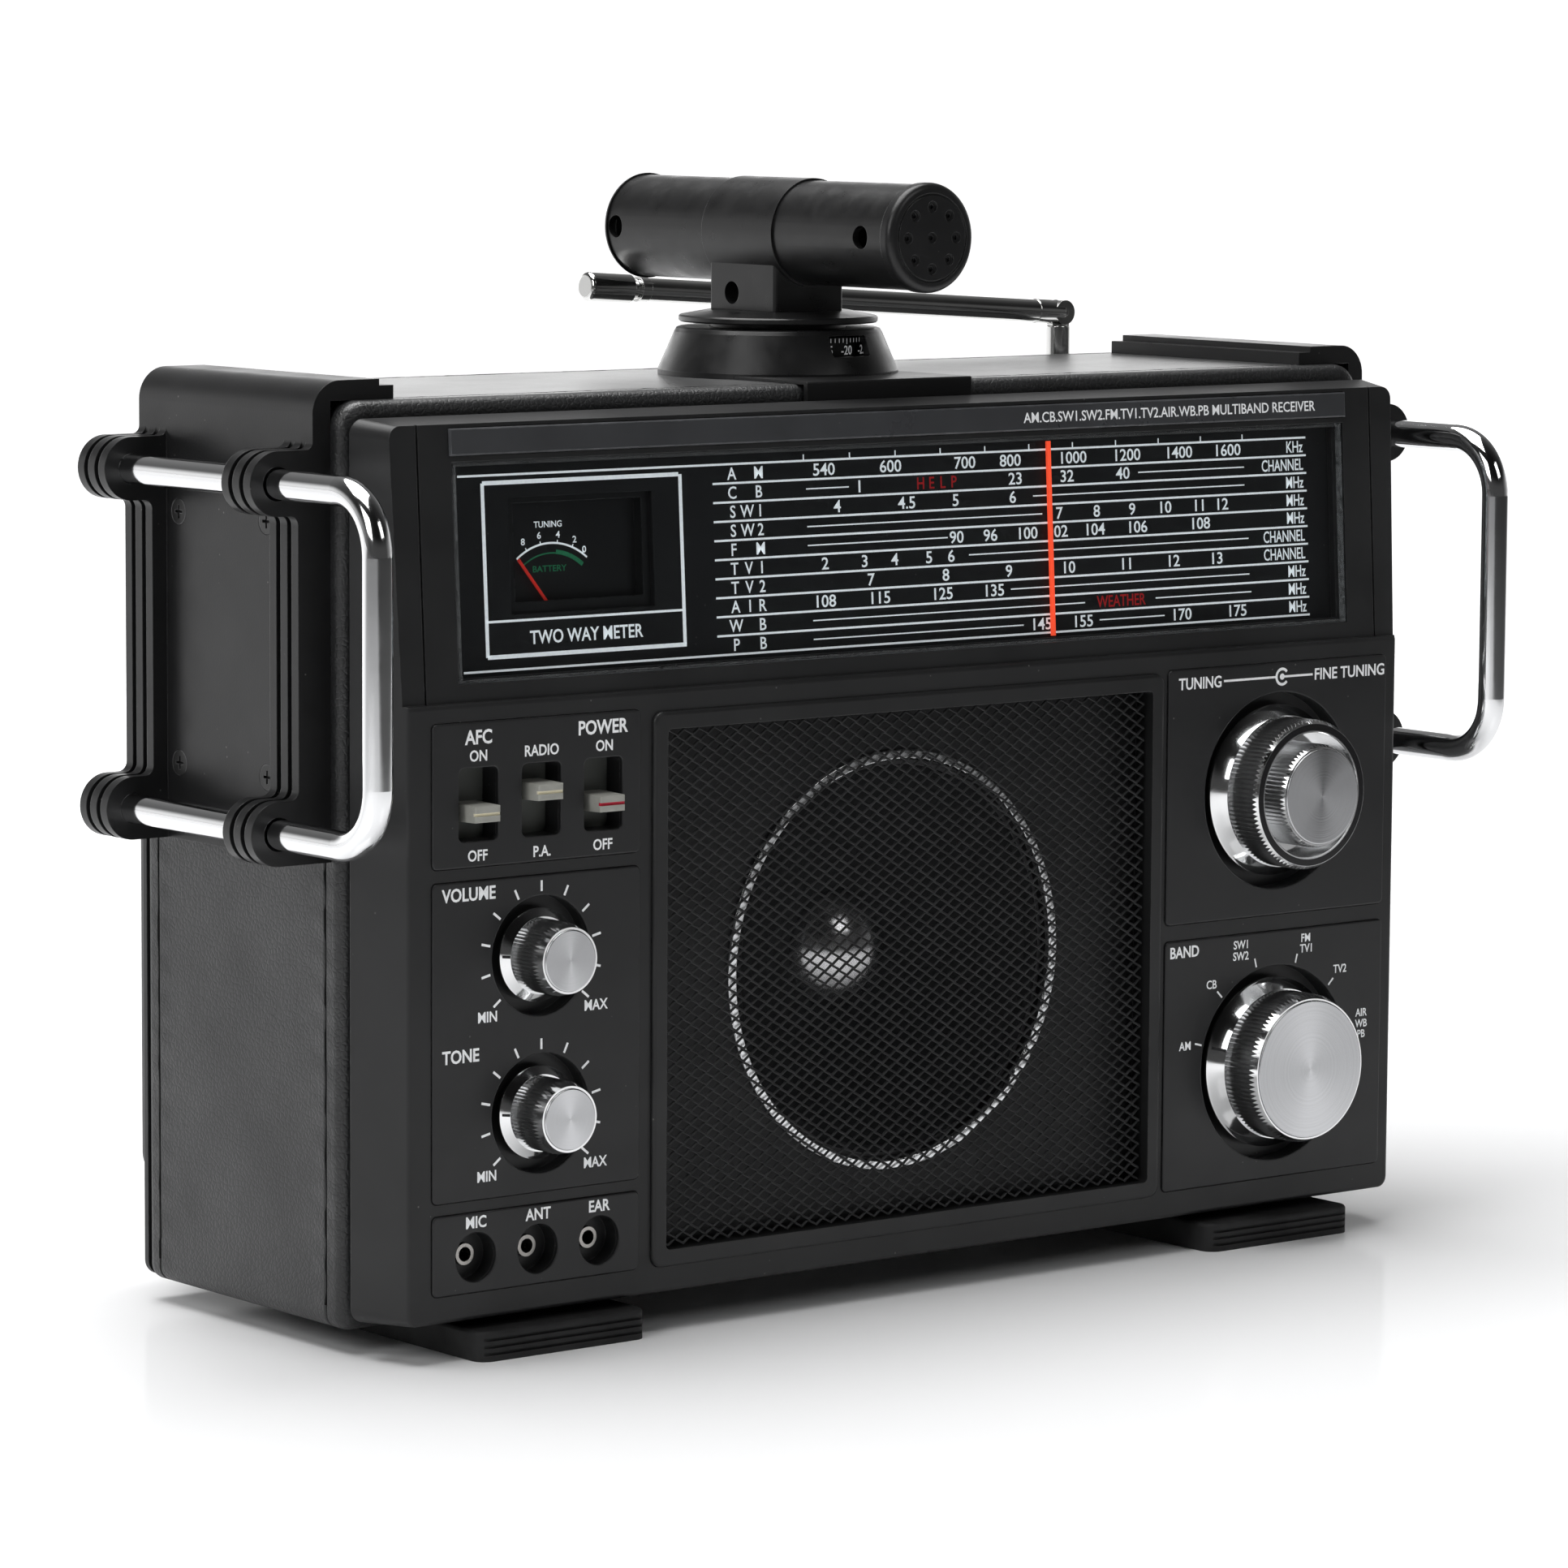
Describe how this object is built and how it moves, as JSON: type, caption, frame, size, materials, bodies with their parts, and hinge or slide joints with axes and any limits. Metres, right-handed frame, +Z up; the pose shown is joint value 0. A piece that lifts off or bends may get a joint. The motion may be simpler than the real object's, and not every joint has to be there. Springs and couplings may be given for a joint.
{
  "type": "portable multiband radio receiver",
  "caption": "Portable multiband receiver in a leatherette case with side carrying bars, dial window, speaker grille, turning direction-finder antenna and telescopic whip.",
  "frame": {"origin": "centre of the bounding box in plan, on the surface the feet stand on", "axes": "+X to the user's right along the width, +Y from the control face to the back, +Z up"},
  "size_m": [0.387, 0.1552, 0.2885],
  "materials": {
    "leatherette": "grained",
    "piping": "grained",
    "moulding": "satin",
    "panel": "satin",
    "title": "satin",
    "window": "clear",
    "dial": "matte",
    "pointer": "gloss",
    "meter": "gloss",
    "bezel": "satin",
    "mesh": "satin",
    "ring": "bright",
    "cone": "matte",
    "basket": "satin",
    "magnet": "matte",
    "internals": "matte",
    "board": "matte",
    "jack": "bright",
    "bracket": "satin",
    "chrome": "polished",
    "screw": "satin",
    "foot": "matte",
    "antenna": "satin",
    "ferrite": "matte",
    "knob": "knurled",
    "face": "spun",
    "cap": "satin"
  },
  "bodies": {
    "case": {"cabinet_sleeve": "leatherette", "edge_piping": "piping", "back_cover": "moulding", "front_moulding": "moulding", "title_strip": "title", "dial_window": "window", "dial_plate": "dial", "meter_case": "meter", "switch_plate": "panel", "volume_tone_plate": "panel", "jack_plate": "panel", "tuning_plate": "panel", "band_plate": "panel", "speaker_bezel": "bezel", "speaker_mesh": "mesh", "speaker_ring": "ring", "speaker_basket": "basket", "speaker_cone": "cone", "speaker_dust_cap": "cone", "speaker_magnet": "magnet", "potentiometers": "internals", "band_switch": "internals", "tuning_capacitor": "internals", "slide_switches": "internals", "jack_sockets": "jack", "circuit_board": "board", "bracket_left": "bracket", "bracket_right": "bracket", "bar_left": "chrome", "bar_right": "chrome", "case_screws": "screw", "foot_left": "foot", "foot_right": "foot", "antenna_plate": "antenna", "antenna_cone": "antenna"},
    "pointer": {"dial_pointer": "pointer"},
    "needle": {"meter_needle": "pointer"},
    "volume": {"volume_knob": "knob", "volume_knob_face": "face"},
    "tone": {"tone_knob": "knob", "tone_knob_face": "face"},
    "tuning": {"tuning_knob": "knob"},
    "fine_tuning": {"fine_tuning_knob": "knob", "fine_tuning_face": "face"},
    "band": {"band_knob": "knob", "band_knob_face": "face"},
    "afc": {"afc_slider": "cap"},
    "mode": {"mode_slider": "cap"},
    "power": {"power_slider": "cap"},
    "direction_antenna": {"antenna_turntable": "antenna", "antenna_holder": "antenna", "antenna_tube": "antenna", "antenna_end_caps": "antenna", "ferrite_rod": "ferrite"},
    "whip_swivel": {"whip_post": "chrome"},
    "whip_base": {"whip_section_1": "chrome"},
    "whip_second": {"whip_section_2": "chrome"},
    "whip_third": {"whip_section_3": "chrome"},
    "whip_tip": {"whip_section_4": "chrome"},
    "door": {"battery_door": "moulding"}
  },
  "joints": [
    {"name": "tuning_turn", "type": "hinge", "parent": "case", "child": "tuning", "pos_m": [0.1215, -0.0624, 0.1235], "axis": [0, 1, 0], "range_deg": [-675, 584]},
    {"name": "pointer_travel", "type": "slide", "parent": "case", "child": "pointer", "axis": [1, 0, 0], "range_m": [-0.082, 0.071]},
    {"name": "fine_tuning_turn", "type": "hinge", "parent": "case", "child": "fine_tuning", "pos_m": [0.1215, -0.0694, 0.1235], "axis": [0, 1, 0], "range_deg": [-150, 150]},
    {"name": "volume_turn", "type": "hinge", "parent": "case", "child": "volume", "pos_m": [-0.1254, -0.0624, 0.0994], "axis": [0, 1, 0], "range_deg": [-41, 217]},
    {"name": "tone_turn", "type": "hinge", "parent": "case", "child": "tone", "pos_m": [-0.1254, -0.0624, 0.0599], "axis": [0, 1, 0], "range_deg": [-41, 217]},
    {"name": "band_turn", "type": "hinge", "parent": "case", "child": "band", "pos_m": [0.1215, -0.0624, 0.049], "axis": [0, 1, 0], "range_deg": [0, 150]},
    {"name": "afc_slide", "type": "slide", "parent": "case", "child": "afc", "axis": [0, 0, 1], "range_m": [0, 0.0042]},
    {"name": "mode_slide", "type": "slide", "parent": "case", "child": "mode", "axis": [0, 0, -1], "range_m": [0, 0.0042]},
    {"name": "power_slide", "type": "slide", "parent": "case", "child": "power", "axis": [0, 0, 1], "range_m": [0, 0.0042]},
    {"name": "meter_swing", "type": "hinge", "parent": "case", "child": "needle", "pos_m": [-0.1125, -0.04639, 0.18232], "axis": [0, 0.9982, -0.0599], "range_deg": [0, 77], "stiffness_Nm_per_rad": 0.0001},
    {"name": "direction_antenna_turn", "type": "hinge", "parent": "case", "child": "direction_antenna", "pos_m": [0.001, 0.0092, 0.245], "axis": [0, 0, 1], "range_deg": [-150, 150]},
    {"name": "whip_swivel_turn", "type": "hinge", "parent": "case", "child": "whip_swivel", "pos_m": [0.1531, 0.072, 0.22], "axis": [0, 0, -1], "range_deg": [0, 270]},
    {"name": "whip_tilt", "type": "hinge", "parent": "whip_swivel", "child": "whip_base", "pos_m": [0.1531, 0.072, 0.2471], "axis": [0, 1, 0], "range_deg": [-3.6, 86.4]},
    {"name": "whip_extend_1", "type": "slide", "parent": "whip_base", "child": "whip_second", "axis": [-0.998, 0, 0.0628], "range_m": [0, 0.13]},
    {"name": "whip_extend_2", "type": "slide", "parent": "whip_second", "child": "whip_third", "axis": [-0.998, 0, 0.0628], "range_m": [0, 0.13]},
    {"name": "whip_extend_3", "type": "slide", "parent": "whip_third", "child": "whip_tip", "axis": [-0.998, 0, 0.0628], "range_m": [0, 0.13]},
    {"name": "battery_door_swing", "type": "hinge", "parent": "case", "child": "door", "pos_m": [0, 0.0765, 0.045], "axis": [-1, 0, 0], "range_deg": [0, 90]}
  ],
  "couplings": [
    {"joint": "pointer_travel", "follows": "tuning_turn", "m_per_rad": 0.00695}
  ]
}
